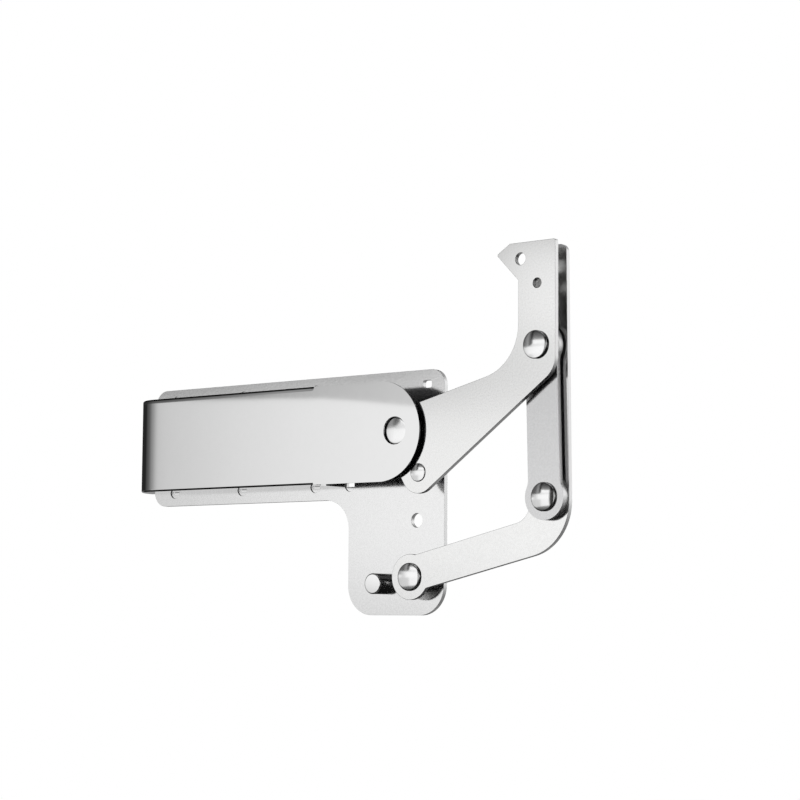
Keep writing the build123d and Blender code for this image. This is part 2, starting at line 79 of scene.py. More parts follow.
# %% Name the sizes
MM = 0.001
rivet_centres = {
    "main_axle": (0.0, 0.0),
    "lower_axle": (1.8, -69.5),
    "link_rivet_upper": (80.3, 35.7),
    "link_rivet_lower": (82.1, -33.8),
    "cam_rivet": (12.4, -20.4),
    "cap_stud": (-20.5, -72.6),
}
layer_gap = 0.1
cover_top = 24.2
fold_right = -50.8
roll_start = -160.5


def depths(node):
    """The nearest and the furthest depth of a CAD node from the wall, in millimetres."""
    low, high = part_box(node)
    return -high.y / MM, -low.y / MM


print("upper arm between depths", [round(depth, 2) for depth in depths("upper_arm")])

# %% [markdown]
# ## Writing shader maths as plain expressions
# A procedural finish is a sum of patterns. Wiring each sum by hand is slow to read, so a small
# class wraps a socket and turns Python's operators into Math nodes. A second class makes any
# other node, sets its settings first, and then fills or links its sockets.


# %% A value that varies over a surface
class Value:
    """A number that varies over a surface, as an output socket with operators."""

    def __init__(self, finish, socket):
        self.finish = finish
        self.socket = socket

    def calculate(self, operation, *others):
        """This value and any others through one Math node."""
        terms = dict(enumerate((self, *others)))
        return self.finish.value("ShaderNodeMath", {"operation": operation}, terms)

    def __add__(self, other):
        return self.calculate("ADD", other)

    __radd__ = __add__

    def __sub__(self, other):
        return self.calculate("SUBTRACT", other)

    def __rsub__(self, other):
        return (self * -1.0) + other

    def __mul__(self, other):
        return self.calculate("MULTIPLY", other)

    __rmul__ = __mul__

    def __truediv__(self, other):
        return self.calculate("DIVIDE", other)

    def __rtruediv__(self, other):
        return self.calculate("POWER", -1.0) * other

    def __abs__(self):
        return self.calculate("ABSOLUTE")

    def rise(self, low, high):
        """0 below low, 1 above high, and a smooth step between them."""
        return self.finish.value(
            "ShaderNodeMapRange", {"interpolation_type": "SMOOTHSTEP"},
            {0: self, 1: low, 2: high, 3: 0.0, 4: 1.0},
        )


print("values ready")


# %% A node tree while it is written
def fill_ramp(ramp, stops):
    """Set a colour ramp to grey stops, each a place from 0 to 1 and a brightness."""
    while len(ramp.elements) < len(stops):
        ramp.elements.new(1.0)
    for element, (place, shade) in zip(ramp.elements, stops):
        element.position = place
        element.color = (shade, shade, shade, 1.0)


class Finish:
    """One node tree while it is written, of a material or of the world."""

    def __init__(self, name=None, tree=None):
        if tree is None:
            self.material = bpy.data.materials.new(name)
            self.material.use_nodes = True
            tree = self.material.node_tree
        self.tree = tree
        self.tree.nodes.clear()

    def node(self, kind, settings=None, inputs=None):
        """Any node, with its settings first and then the values or links of its sockets."""
        made = self.tree.nodes.new(kind)
        for key, setting in (settings or {}).items():
            if key == "stops":
                fill_ramp(made.color_ramp, setting)
            else:
                setattr(made, key, setting)
        for key, given in (inputs or {}).items():
            given = given.socket if isinstance(given, Value) else given
            if isinstance(given, bpy.types.NodeSocket):
                self.tree.links.new(given, made.inputs[key])
            else:
                made.inputs[key].default_value = given
        return made

    def value(self, kind, settings=None, inputs=None, output=0):
        return Value(self, self.node(kind, settings, inputs).outputs[output])

    def parts(self, vector):
        """The X, Y and Z of a vector socket, as three values."""
        split = self.node("ShaderNodeSeparateXYZ", None, {0: vector})
        return [Value(self, socket) for socket in split.outputs]

    def place(self):
        """Object coordinates, which stay on a piece as it moves."""
        return self.node("ShaderNodeTexCoord").outputs["Object"]

    def millimetres(self):
        """The X, Y and Z of each point of a piece, in millimetres."""
        return [part / MM for part in self.parts(self.place())]

    def outward(self):
        """How far the surface turns away from the front: -1 faces it, 1 faces the wall."""
        return self.parts(self.node("ShaderNodeTexCoord").outputs["Normal"])[1]

    def stretched(self, amounts):
        """Object coordinates, stretched along the axes."""
        return self.node(
            "ShaderNodeVectorMath", {"operation": "MULTIPLY"}, {0: self.place(), 1: amounts}
        ).outputs[0]

    def noise(self, size, place=None, detail=2.0, roughness=0.5):
        """Soft grain of about one size in millimetres, from 0 to 1."""
        return self.value("ShaderNodeTexNoise", None, {
            "Vector": place or self.place(), "Scale": 1.0 / (size * MM), "Detail": detail,
            "Roughness": roughness,
        })

    def mix(self, factor, first, second):
        """A colour between two, as an output socket."""
        return self.node("ShaderNodeMix", {"data_type": "RGBA"}, {
            0: factor, 6: first, 7: second,
        }).outputs[2]

    def bump(self, height, depth):
        """A normal tilted as if the surface rose by height times depth, in millimetres."""
        return self.node(
            "ShaderNodeBump", None, {"Height": height, "Distance": depth * MM, "Strength": 1.0}
        ).outputs[0]

    def surface(self, **sockets):
        """The Principled shader and the output, as the last step of a material."""
        named = {key.replace("_", " "): given for key, given in sockets.items()}
        shader = self.node("ShaderNodeBsdfPrincipled", None, named)
        self.node("ShaderNodeOutputMaterial", None, {"Surface": shader.outputs[0]})
        return self.material


def colour(red, green, blue):
    return (red, green, blue, 1.0)


def grey(level):
    return colour(level, level, level)


def shaded(tint, factor, lift=0.0):
    """A colour made darker or lighter by a factor, and then lifted a little."""
    return colour(*(min(1.0, factor * part + lift) for part in tint[:3]))


print("node trees ready")

# %% [markdown]
# ## Plated sheet steel
# The plate, arms and link are stamped from cold-rolled strip and nickel plated. On such sheet the
# colour hardly varies: what the eye sees is grain in the gloss. It could be painted into the
# colour, but then it would look like dirt under another light, so most of it goes into roughness
# and a very shallow bump. The stamped edge is another surface: the punch shears it bright and
# leaves fine streaks across its thickness. The surface's own direction tells edge from face, and
# a face in front from one at the back. The back is rougher, and its colour is darkened as painted
# shade, so that a sheet just in front mirrors it dark, like a contact shadow.

# %% The sheet finish
turned_to_face = (0.35, 0.75)
turned_to_wall = (0.6, 0.9)
grain_limits = (0.35, 0.65)
grain_in_colour, grain_in_gloss = 0.7, 0.6
cloud_size, streak_size = 35.0, 0.4
across_the_edge = (1.0, 0.08, 1.0)
sheared_steel = grey(0.98)
worn_shade, streak_shade = 0.91, 0.96
edge_gloss, edge_streaks, streak_height = 0.36, 0.12, 0.3
# Faces towards the wall get painted shade: a share of dark grey, which the sheets in front mirror as a
# contact shadow.
painted_back_shade, painted_back_shade_share, wall_side_haze = grey(0.10), 0.2, 0.2


def plated_sheet(name, tint, grain, depth, smooth, rough):
    """Nickel on steel, with a grain and a bump depth in millimetres."""
    finish = Finish(name)
    speckle = finish.noise(grain, detail=3.0, roughness=0.65)
    cloud = finish.noise(cloud_size)
    outward = finish.outward()
    edge = 1.0 - abs(outward).rise(*turned_to_face)
    back = outward.rise(*turned_to_wall)
    streak = finish.noise(streak_size, finish.stretched(across_the_edge))
    worn = speckle.rise(*grain_limits) * grain_in_colour + cloud * (1.0 - grain_in_colour)
    face = finish.mix(worn, shaded(tint, worn_shade), tint)
    # Painted shade on the faces towards the wall.
    face = finish.mix(back * painted_back_shade_share, face, painted_back_shade)
    cut = finish.mix(streak, shaded(sheared_steel, streak_shade), sheared_steel)
    haze = speckle * grain_in_gloss + cloud * (1.0 - grain_in_gloss)
    gloss = smooth + (rough - smooth) * haze + back * wall_side_haze
    height = speckle * (1.0 - edge) + streak_height * streak * edge
    return finish.surface(
        Base_Color=finish.mix(edge, face, cut),
        Metallic=1.0,
        Roughness=gloss * (1.0 - edge) + edge * (edge_gloss + edge_streaks * streak),
        Normal=finish.bump(height, depth),
    )


# %% Give each sheet its nickel
plate_finish = plated_sheet(
    "plate_nickel", grey(0.96), grain=0.9, depth=0.005, smooth=0.10, rough=0.15)
arm_finish = plated_sheet(
    "arm_nickel", colour(0.94, 0.94, 0.935), grain=0.9, depth=0.0015, smooth=0.08, rough=0.12)
lower_arm_finish = plated_sheet(
    "lower_arm_nickel", colour(0.97, 0.97, 0.965), grain=0.9, depth=0.0018, smooth=0.11, rough=0.15)
link_finish = plated_sheet(
    "link_nickel", colour(0.82, 0.82, 0.825), grain=1.0, depth=0.008, smooth=0.17, rough=0.24)
washer_finish = plated_sheet(
    "washer_nickel", grey(0.78), grain=0.8, depth=0.006, smooth=0.20, rough=0.30)
print("sheet finishes:", plate_finish.name, arm_finish.name, link_finish.name)

# %% [markdown]
# ## The folded cover
# The cover is thinner sheet with a much smoother plating, nearly a mirror, with only slow waves
# from the coil. A press brake doesn't leave its front perfectly flat: the last few millimetres
# before the top fold curve over, and in the real cover that strip mirrors the dark above. The
# curve could be modelled, but it is at most a third of a millimetre deep, so it is a bump: a
# height that falls with the cube of the distance into that strip. In the same way the flat face
# starts to turn a little before the rolled left end, along a soft corner. The inside, which only
# shows as a reflection in the plate, is rougher, and its colour is dark as painted shade, so that
# the plate next to the cover mirrors it dark.

# %% The cover's finish
wave_size, wave_height = 28.0, 0.003
haze_size, haze_in_colour, haze_shade = 3.0, 0.5, 0.95
fold_strip, fold_droop, fold_fade = 2.4, 0.29, 2.0
roll_soft, roll_turn = 3.0, 0.11
# The inside's dark colour is painted shade, for the plate to mirror next to the cover.
inside_turn, painted_inside_shade, inside_haze = (0.3, 0.8), colour(0.20, 0.20, 0.203), 0.4


def cover_sheet(name, tint, smooth, rough):
    """Bright nickel on thin sheet, bent over at the top fold and at the left end."""
    finish = Finish(name)
    x, _, z = finish.millimetres()
    wave = finish.noise(wave_size, detail=1.0)
    haze = finish.noise(haze_size, detail=3.0)
    into = ((z - (cover_top - fold_strip)) / fold_strip).calculate("MAXIMUM", 0.0)
    folded = 1.0 - x.rise(fold_right - fold_fade, fold_right)
    beyond = (roll_start - x) / roll_soft
    lead = (beyond + (beyond * beyond + 1.0).calculate("SQRT")) * (roll_soft / 2.0)
    height = wave * wave_height - into * into * into * folded * fold_droop - lead * roll_turn
    # Faces turned to the wall get the painted shade of the inside.
    inside = finish.outward().rise(*inside_turn)
    shade = haze * haze_in_colour + wave * (1.0 - haze_in_colour)
    shine = finish.mix(shade, shaded(tint, haze_shade), tint)
    return finish.surface(
        Base_Color=finish.mix(inside, shine, painted_inside_shade),
        Metallic=1.0,
        Roughness=smooth + (rough - smooth) * haze + inside * inside_haze,
        Normal=finish.bump(height, 1.0),
    )


cover_finish = cover_sheet("cover_nickel", grey(0.88), smooth=0.02, rough=0.035)
print("cover finish:", cover_finish.name)

# %% [markdown]
# ## Polished rivets and turned steel
# Rivet heads are formed by a polished die and stay bright. Turned parts keep faint rings from the
# tool. A ring pattern could be a Wave texture, but a sine of the distance from the axis is one
# line of maths and follows each axle exactly.

# %% Polished and turned metal
ring_pitch, ring_depth = 0.8, 0.0004
smear_size, smear_shade = 4.0, 0.92
smear_in_gloss, smear_in_height = 0.7, 0.5


def turned_metal(name, tint, centre, smooth, rough):
    """Polished metal with faint rings round an axis, given by its X and Z in millimetres."""
    finish = Finish(name)
    x, _, z = finish.millimetres()
    x, z = x - centre[0], z - centre[1]
    reach = (x * x + z * z).calculate("SQRT")
    rings = (reach * (2.0 * pi / ring_pitch)).calculate("SINE") * 0.5 + 0.5
    smear = finish.noise(smear_size, detail=3.0)
    gloss = smear * smear_in_gloss + rings * (1.0 - smear_in_gloss)
    height = smear * smear_in_height + rings * (1.0 - smear_in_height)
    return finish.surface(
        Base_Color=finish.mix(smear, shaded(tint, smear_shade), tint),
        Metallic=1.0,
        Roughness=smooth + (rough - smooth) * gloss,
        Normal=finish.bump(height, ring_depth),
    )


rivet_finishes = {
    node: turned_metal(f"{node}_polish", grey(0.99), centre, smooth=0.05, rough=0.11)
    for node, centre in rivet_centres.items()
}
print("polished finishes:", len(rivet_finishes))

# %% [markdown]
# ## The finishes inside
# What lies under the cover shows only between the plate and the arms, or when the part is taken
# apart, but each piece is still what it is: black painted tube, chromed rod, brass rod guide,
# die-cast carriage, acetal shoe and bushes, rubber seal. Two short recipes cover them: one for
# bare metal with tool marks, and one for what has a soft gloss, as paint, plastic and rubber do.

# %% Metal, paint and plastic for the inner pieces
patch_size, tooling_in_colour, tooling_shade = 8.0, 0.5, 0.82
blotch_size, texture_in_colour, faded_shade, faded_lift = 12.0, 0.4, 1.25, 0.004
unstretched = (1.0, 1.0, 1.0)


def worked_metal(name, tint, grain, smooth, rough, stretch=unstretched, depth=0.004):
    """Bare metal with tool marks, with a grain and a bump depth in millimetres."""
    finish = Finish(name)
    tooling = finish.noise(grain, finish.stretched(stretch), detail=3.0, roughness=0.6)
    patches = finish.noise(patch_size)
    worn = tooling * tooling_in_colour + patches * (1.0 - tooling_in_colour)
    return finish.surface(
        Base_Color=finish.mix(worn, shaded(tint, tooling_shade), tint),
        Metallic=1.0,
        Roughness=smooth + (rough - smooth) * tooling,
        Normal=finish.bump(tooling, depth),
    )


def soft_gloss(name, tint, grain, smooth, rough, depth, coat=0.0):
    """Paint, plastic or rubber, with a grain and a bump depth in millimetres."""
    finish = Finish(name)
    texture = finish.noise(grain, detail=3.0, roughness=0.6)
    blotches = finish.noise(blotch_size, detail=1.0)
    faded = texture * texture_in_colour + blotches * (1.0 - texture_in_colour)
    return finish.surface(
        Base_Color=finish.mix(faded, tint, shaded(tint, faded_shade, faded_lift)),
        Metallic=0.0,
        Roughness=smooth + (rough - smooth) * texture,
        Coat_Weight=coat,
        Normal=finish.bump(texture, depth),
    )


# %% Make the inner finishes
lathe_marks = (1.0, 12.0, 1.0)
drawn_lines = (0.05, 1.0, 1.0)
metals = {
    "spacer_zinc": (colour(0.60, 0.61, 0.62), 1.2, 0.25, 0.40, lathe_marks),
    "cam_hardened": (colour(0.42, 0.42, 0.44), 1.0, 0.22, 0.36),
    "roller_ground": (colour(0.66, 0.66, 0.68), 0.8, 0.12, 0.22, lathe_marks),
    "casting_zinc": (colour(0.50, 0.51, 0.52), 0.7, 0.42, 0.60, unstretched, 0.03),
    "guide_zinc": (colour(0.62, 0.62, 0.63), 0.9, 0.28, 0.42),
    "plug_steel": (colour(0.52, 0.52, 0.54), 1.0, 0.25, 0.40, lathe_marks),
    "rod_chrome": (colour(0.78, 0.78, 0.80), 0.6, 0.04, 0.09, drawn_lines, 0.0005),
    "guide_brass": (colour(0.72, 0.52, 0.22), 1.0, 0.18, 0.32, lathe_marks),
    "piston_alloy": (colour(0.76, 0.76, 0.78), 1.0, 0.20, 0.34, lathe_marks),
}
paints_and_plastics = {
    "tube_paint": (colour(0.012, 0.012, 0.013), 0.7, 0.24, 0.36, 0.01, 0.3),
    "acetal_black": (colour(0.015, 0.015, 0.016), 0.4, 0.38, 0.50, 0.008),
    "acetal_white": (colour(0.72, 0.71, 0.67), 0.4, 0.36, 0.48, 0.008),
    "seal_rubber": (grey(0.010), 0.3, 0.60, 0.78, 0.012),
    "ring_brown": (colour(0.045, 0.032, 0.020), 0.3, 0.45, 0.60, 0.006),
}
inner_finishes = {name: worked_metal(name, *recipe) for name, recipe in metals.items()}
for name, recipe in paints_and_plastics.items():
    inner_finishes[name] = soft_gloss(name, *recipe)
print("inner finishes:", len(inner_finishes))

# %% Put them on the inner pieces
finish_of = {
    "main_axle_spacer": "spacer_zinc", "lower_axle_spacer": "spacer_zinc",
    "upper_arm_bush": "acetal_black", "lower_arm_bush": "acetal_black",
    "cam_plate": "cam_hardened", "cam_roller": "roller_ground", "roller_pin": "roller_ground",
    "roller_carriage": "casting_zinc", "glide_shoe": "acetal_white",
    "carriage_guide": "guide_zinc", "guide_rivets": "guide_zinc",
    "gas_cylinder": "tube_paint", "cylinder_end_plug": "plug_steel", "tail_pin": "plug_steel",
    "rod_guide": "guide_brass", "rod_seal": "seal_rubber", "piston_rod": "rod_chrome",
    "piston": "piston_alloy", "piston_ring": "ring_brown", "rod_lock_nut": "plug_steel",
}
for node, finish_name in finish_of.items():
    mesh = frame["nodes"][node].data
    mesh.materials.clear()
    mesh.materials.append(inner_finishes[finish_name])
print("inner pieces finished:", len(finish_of))

# %% [markdown]
# ## Two helpers for making pieces
# Every piece is an object at the origin with its place in its mesh, because the export puts every
# object there. Modifiers do the shaping, and the result is then read back as a plain mesh.


# %% Add an object and read its shape back
def add_object(name, data):
    """A new object in the scene, at the origin and unturned."""
    made = bpy.data.objects.new(name, data)
    bpy.context.scene.collection.objects.link(made)
    return made


def shaped_mesh(piece):
    """A plain mesh of what a piece looks like with its modifiers."""
    bpy.context.view_layer.update()
    shaped = piece.evaluated_get(bpy.context.evaluated_depsgraph_get())
    return bpy.data.meshes.new_from_object(shaped)


print("helpers ready")

# %% [markdown]
# ## Stamped sheets with eased edges
# A stamped and tumbled sheet has no knife edges: a rounding of about a quarter of a millimetre
# catches the light as a thin line, and that line is much of what makes metal look real. The CAD
# sheets are sharp. Their solids stay as they are, and a copy of each is merged, freed of its
# flat inner edges, and given a small bevel. The copy stands for the CAD node on the same body.

# %% Ease the sheets' edges
weld, flat_within, sharp_from = 0.001, radians(0.4), radians(40.0)
bevel_segments, large_faces_lead = 3, 100


def eased_copy(node, finish, width):
    """A copy of a CAD sheet with its edges rounded, standing for the node."""
    source = frame["nodes"][node]
    shell = bmesh.new()
    shell.from_mesh(source.data)
    bmesh.ops.remove_doubles(shell, verts=shell.verts, dist=weld * MM)
    bmesh.ops.dissolve_limit(
        shell, angle_limit=flat_within, verts=shell.verts, edges=shell.edges,
        use_dissolve_boundaries=False,
    )
    mesh = bpy.data.meshes.new(node + "_eased")
    shell.to_mesh(mesh)
    shell.free()
    mesh.materials.append(finish)
    mesh.shade_smooth()
    piece = add_object(node + "_eased", mesh)
    bevel = piece.modifiers.new("ease", "BEVEL")
    bevel.width = width * MM
    bevel.segments = bevel_segments
    bevel.limit_method = "ANGLE"
    bevel.angle_limit = sharp_from
    bevel.miter_outer = "MITER_ARC"
    flatten = piece.modifiers.new("flatten", "WEIGHTED_NORMAL")
    flatten.weight = large_faces_lead
    eased = shaped_mesh(piece)
    piece.modifiers.clear()
    piece.data = eased
    bpy.data.meshes.remove(mesh)
    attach(piece, source["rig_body"])
    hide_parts(node)
    print(f"{piece.name}: {len(eased.polygons)} faces, edges eased by {width} mm")
    return piece


sheets = {
    "base_plate": (plate_finish, 0.30, "plate_steel"),
    "housing_cover": (cover_finish, 0.20, "cover_steel"),
    "upper_arm": (arm_finish, 0.28, "arm_steel"),
    "lower_arm": (lower_arm_finish, 0.28, "arm_steel"),
    "coupler_link": (link_finish, 0.28, "link_steel"),
    "link_washer_upper": (washer_finish, 0.18, "washer_steel"),
    "link_washer_lower": (washer_finish, 0.18, "washer_steel"),
    "main_axle_washer": (washer_finish, 0.15, "washer_steel"),
}
for node, (finish, width, slot) in sheets.items():
    eased_copy(node, finish, width)

# %% [markdown]
# ## Rivets and axles, turned from one profile each
# Every axle here is a shank with a formed head: a shallow dome, a rounded rim and a short skirt.
# Such a shape is its profile swept round an axis, so a Geometry Nodes lathe makes all of them.
# The tree takes the points of a profile, lays a grid with one ring for each point, wraps the grid
# round the axis, and closes the seam. A Screw modifier could do the same, but the tree keeps
# each input by name and gives each piece its place at once.

# %% Build the lathe tree
seam = 0.0005


def lathe_tree():
    """The node group that turns a profile, whose points are (radius, depth), round its centre."""
    tree = bpy.data.node_groups.new("lathe", "GeometryNodeTree")
    for label, kind in (
        ("Profile", "NodeSocketGeometry"), ("Spokes", "NodeSocketInt"),
        ("Centre", "NodeSocketVector"), ("Finish", "NodeSocketMaterial"),
    ):
        tree.interface.new_socket(label, in_out="INPUT", socket_type=kind)
    tree.interface.new_socket("Turned", in_out="OUTPUT", socket_type="NodeSocketGeometry")

    def add(kind, settings=None, **links):
        """A node's outputs, once its sockets are filled by name or, as i0 and i1, by number."""
        made = tree.nodes.new(kind)
        for key, setting in (settings or {}).items():
            setattr(made, key, setting)
        for key, given in links.items():
            socket = made.inputs[int(key[1:]) if key[1:].isdigit() else key.replace("_", " ")]
            if isinstance(given, bpy.types.NodeSocket):
                tree.links.new(given, socket)
            else:
                socket.default_value = given
        return made.outputs

    def maths(operation, first, second=0.0):
        return add("ShaderNodeMath", {"operation": operation}, i0=first, i1=second)[0]

    given = add("NodeGroupInput")
    count = add("GeometryNodeAttributeDomainSize", None, Geometry=given["Profile"])["Point Count"]
    around = maths("ADD", given["Spokes"], 1.0)
    grid = add("GeometryNodeMeshGrid", None, Vertices_X=count, Vertices_Y=around)["Mesh"]
    index = add("GeometryNodeInputIndex")[0]
    ring = maths("FLOOR", maths("DIVIDE", maths("ADD", index, 0.5), around))
    spoke = maths("SUBTRACT", index, maths("MULTIPLY", ring, around))
    turn = maths("DIVIDE", maths("MULTIPLY", spoke, 2.0 * pi), given["Spokes"])
    point = add(
        "GeometryNodeSampleIndex", {"data_type": "FLOAT_VECTOR"},
        Geometry=given["Profile"], Value=add("GeometryNodeInputPosition")[0], Index=ring,
    )[0]
    radius, depth, _ = add("ShaderNodeSeparateXYZ", None, i0=point)
    wrapped = add(
        "ShaderNodeCombineXYZ", None, X=maths("MULTIPLY", radius, maths("COSINE", turn)),
        Y=maths("MULTIPLY", depth, -1.0), Z=maths("MULTIPLY", radius, maths("SINE", turn)),
    )[0]
    placed = add("ShaderNodeVectorMath", {"operation": "ADD"}, i0=wrapped, i1=given["Centre"])[0]
    moved = add("GeometryNodeSetPosition", None, Geometry=grid, Position=placed)[0]
    closed = add("GeometryNodeMergeByDistance", None, Geometry=moved, Distance=seam * MM)[0]
    single = add("GeometryNodeRealizeInstances", None, Geometry=closed)[0]
    painted = add("GeometryNodeSetMaterial", None, Geometry=single, Material=given["Finish"])[0]
    result = tree.nodes.new("NodeGroupOutput")
    tree.links.new(painted, result.inputs["Turned"])
    return tree


lathe = lathe_tree()
inputs_of_lathe = {
    item.name: item.identifier for item in lathe.interface.items_tree
    if item.item_type == "SOCKET" and item.in_out == "INPUT"
}
print("lathe tree:", len(lathe.nodes), "nodes")

# %% [markdown]
# ## One profile for each rivet
# A profile runs from the shank's end at the wall side to the middle of the head's face. The face
# is a part of a sphere, and its tilt at the rim decides how much of the room the polished head
# mirrors. The rim is a round that meets the dome without a crease. Both ends of the profile are
# measured on the CAD node, and the head's seat on the sheet, washer or bush under it.

# %% Draw the profiles
shank_chamfer, skirt_break = 0.3, 0.08
rim_steps, face_steps = 10, 12


def arc(centre, radius, first, last, steps):
    """Points of a round as (radius, depth), by the tilt of its surface from the axis."""
    tilts = (first + (last - first) * step / steps for step in range(steps + 1))
    return [(centre[0] + radius * sin(tilt), centre[1] + radius * cos(tilt)) for tilt in tilts]


def head_profile(node, seat, shank, radius, rim, tilt):
    """A shank and its domed head, from the axis at the back to the axis at the front."""
    back, top = depths(node)
    tilt = radians(tilt)
    dome = (radius - rim + rim * sin(tilt)) / sin(tilt)
    rim_depth = top - dome * (1.0 - cos(tilt)) - rim * cos(tilt)
    points = [(0.0, back), (shank - shank_chamfer, back), (shank, back + shank_chamfer)]
    points += [(shank, seat), (radius - skirt_break, seat), (radius, seat + skirt_break)]
    points += arc((radius - rim, rim_depth), rim, pi / 2, tilt, rim_steps)
    points += arc((0.0, top - dome), dome, tilt, 0.0, face_steps)[1:]
    return points


over_arm = depths("upper_arm")[1]
over_bush = depths("lower_arm_bush")[1] + layer_gap
over_link = depths("coupler_link")[1] + layer_gap
heads = {
    "main_axle": dict(
        seat=depths("main_axle_washer")[1], shank=4.0, radius=6.4, rim=0.4, tilt=3.0),
    "lower_axle": dict(seat=over_bush, shank=4.0, radius=6.7, rim=0.6, tilt=8.5),
    "link_rivet_upper": dict(seat=over_arm, shank=3.5, radius=6.6, rim=0.5, tilt=6.5),
    "link_rivet_lower": dict(seat=over_link, shank=3.5, radius=6.7, rim=0.5, tilt=10.3),
    "cam_rivet": dict(seat=over_arm, shank=3.0, radius=4.4, rim=0.3, tilt=8.0),
    "cap_stud": dict(seat=depths("base_plate")[1], shank=3.0, radius=5.0, rim=0.6, tilt=0.5),
}
profiles = {node: head_profile(node, **sizes) for node, sizes in heads.items()}
print("profiles:", {node: len(points) for node, points in profiles.items()}, "points")

# %% [markdown]
# ## Turning them
# The modifier is read back into a plain mesh, and its normals are set to point outwards, because a
# sweep can turn a shape inside out. Edges that turn by less than thirty degrees are shaded
# smooth. The piece then stands for its CAD node.

# %% Turn the rivets
spokes, smooth_under = 96, radians(30)


def turned_piece(node, profile, centre, finish):
    """A profile turned round a centre, both in millimetres, standing for a CAD node."""
    outline = bpy.data.meshes.new(node + "_profile")
    outline.from_pydata(
        [(radius * MM, depth * MM, 0.0) for radius, depth in profile],
        [(i, i + 1) for i in range(len(profile) - 1)], [],
    )
    blank = add_object(node + "_blank", outline)
    modifier = blank.modifiers.new("turn", "NODES")
    modifier.node_group = lathe
    modifier[inputs_of_lathe["Spokes"]] = spokes
    modifier[inputs_of_lathe["Centre"]] = (centre[0] * MM, 0.0, centre[1] * MM)
    modifier[inputs_of_lathe["Finish"]] = finish
    turned = shaped_mesh(blank)
    bpy.data.objects.remove(blank)
    while turned.materials[0] is None:
        turned.materials.pop(index=0)
    shell = bmesh.new()
    shell.from_mesh(turned)
    bmesh.ops.recalc_face_normals(shell, faces=shell.faces)
    for edge in shell.edges:
        edge.smooth = edge.calc_face_angle(0.0) < smooth_under
    for face in shell.faces:
        face.smooth = True
    shell.to_mesh(turned)
    shell.free()
    piece = add_object(node + "_turned", turned)
    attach(piece, frame["nodes"][node]["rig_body"])
    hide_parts(node)
    print(f"{piece.name}: {len(turned.polygons)} faces, material {turned.materials[0].name}")


for node, profile in profiles.items():
    turned_piece(node, profile, rivet_centres[node], rivet_finishes[node])

# %% [markdown]
# ## The studio
# The part hangs free, as in a catalogue picture, over a pale floor that lies lower than the arms
# reach when they close. World and floor are white to the camera, to gloss and through glass. More
# lamp light could whiten them too, but it would burn out the part. Near the part the floor keeps
# some of its plain shading, and with it the part's shadow. The metal doesn't mirror it, because
# the light tent, which comes next, is all that the metal should see.

# %% White room
ambient = 0.55
any_of_them = (0.4, 0.6)


def shown(finish):
    """1 for rays from the camera, from gloss and through glass, and 0 for all others."""
    path = finish.node("ShaderNodeLightPath")
    camera, gloss, glass = (
        Value(finish, path.outputs[f"Is {kind} Ray"]) for kind in ("Camera", "Glossy", "Transmission")
    )
    return (camera + gloss + glass).rise(*any_of_them)


world = bpy.data.worlds.new("white_room")
bpy.context.scene.world = world
world.use_nodes = True
world.cycles.sampling_method = "NONE"
room = Finish(tree=world.node_tree)
sky = room.node("ShaderNodeBackground", None, {
    "Color": grey(1.0), "Strength": ambient + (1.0 - ambient) * shown(room),
})
room.node("ShaderNodeOutputWorld", None, {"Surface": sky.outputs[0]})
print("room with ambient light of", ambient)

# %% Pale floor
floor_level, floor_reach, floor_paper = -0.24, 6.0, grey(0.88)
near_glow, glow_grows, glow_full = 0.6, 0.3, 0.9
corners = ((-1, -1), (1, -1), (1, 1), (-1, 1))
floor_mesh = bpy.data.meshes.new("floor")
floor_mesh.from_pydata(
    [(x * floor_reach, y * floor_reach, floor_level) for x, y in corners], [], [(0, 1, 2, 3)])
floor = add_object("floor", floor_mesh)
ground = Finish("floor_white")
paper = ground.node("ShaderNodeBsdfDiffuse", None, {"Color": floor_paper})
glow = ground.node("ShaderNodeEmission", None, {"Color": grey(1.0), "Strength": 1.0})
away = ground.value("ShaderNodeVectorMath", {"operation": "LENGTH"}, {0: ground.place()}, "Value")
glow_share = near_glow + (1.0 - near_glow) * away.rise(glow_grows, glow_full)
both = ground.node("ShaderNodeMixShader", None, {
    0: glow_share * shown(ground), 1: paper.outputs[0], 2: glow.outputs[0],
})
ground.node("ShaderNodeOutputMaterial", None, {"Surface": both.outputs[0]})
ground.material.cycles.emission_sampling = "NONE"
floor_mesh.materials.append(ground.material)
floor.visible_glossy = False
print("floor at", floor_level, "m")

# %% [markdown]
# ## The light tent
# Bright metal shows its surroundings more than itself, so a photographer builds them from white
# cloth and black card. A big sphere does that here, and only gloss can see it. A picture wrapped
# on it would do, but a few numbers say it more plainly: each band below gives the brightness by
# heading round the part, and holds for some levels, from -1 straight down to 1 straight up.
#
# Seen from the camera, the flat faces mirror a narrow piece of the tent, at headings from -137 to
# -124. Left of that it gets dark, and this shades the cover's rolled end. A window between two
# dark cards lights the front, and the right is bright. Straight overhead it is bright too, above
# a dark ring that gives the rivets their dark upper rims.


# %% Hang the tent
tent_radius = 5.0
shell = bmesh.new()
bmesh.ops.create_icosphere(shell, subdivisions=5, radius=tent_radius)
tent_mesh = bpy.data.meshes.new("light_tent")
shell.to_mesh(tent_mesh)
shell.free()
tent = add_object("light_tent", tent_mesh)
for ray in ("camera", "diffuse", "transmission", "volume_scatter", "shadow"):
    setattr(tent, "visible_" + ray, False)
cloth = Finish("tent_cloth")
x, y, level = (part / tent_radius for part in cloth.parts(cloth.place()))
heading = y.calculate("ARCTAN2", x) / (2.0 * pi) + 0.5


def round_the_part(stops):
    """Brightness by heading in degrees: 0 is +X, -90 is the front, 90 is the wall side."""
    ramp = [((turn + 180.0) / 360.0, shade) for turn, shade in stops]
    return cloth.value("ShaderNodeValToRGB", {"stops": ramp}, {0: heading})


